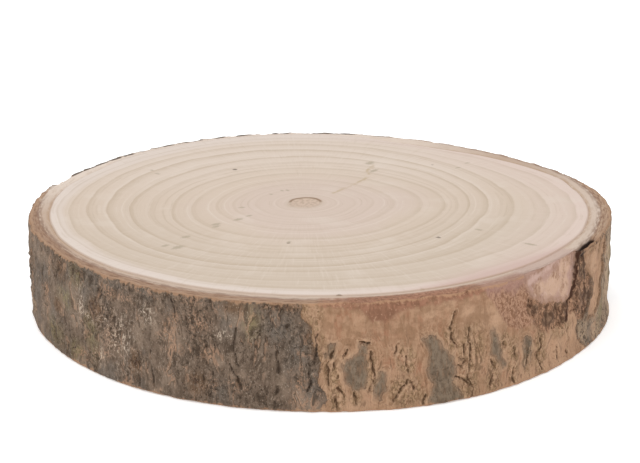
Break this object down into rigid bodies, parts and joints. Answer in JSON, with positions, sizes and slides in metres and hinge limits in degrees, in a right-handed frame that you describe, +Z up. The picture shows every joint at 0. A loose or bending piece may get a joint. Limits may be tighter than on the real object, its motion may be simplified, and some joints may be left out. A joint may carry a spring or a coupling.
{
  "type": "wood slice",
  "caption": "Round saw-cut slice of a trunk with its bark on, flat sawn faces with growth rings and an off-centre pith, and a broken notch in the bark's top edge.",
  "frame": {"origin": "middle of the slice's box, on the surface that it lies on", "axes": "+Z up along the trunk, square to both sawn faces; -Y towards the side with the broken notch and the bare inner bark, as the picture shows it; +X to the right there"},
  "size_m": [0.3044, 0.3048, 0.054],
  "materials": {
    "wood": "raw, sawn across the grain, matte",
    "bark": "raw bark, grey-brown skin over tan inner bark, rough and matte"
  },
  "bodies": {
    "root": {"wood_slice": "wood"}
  },
  "joints": []
}
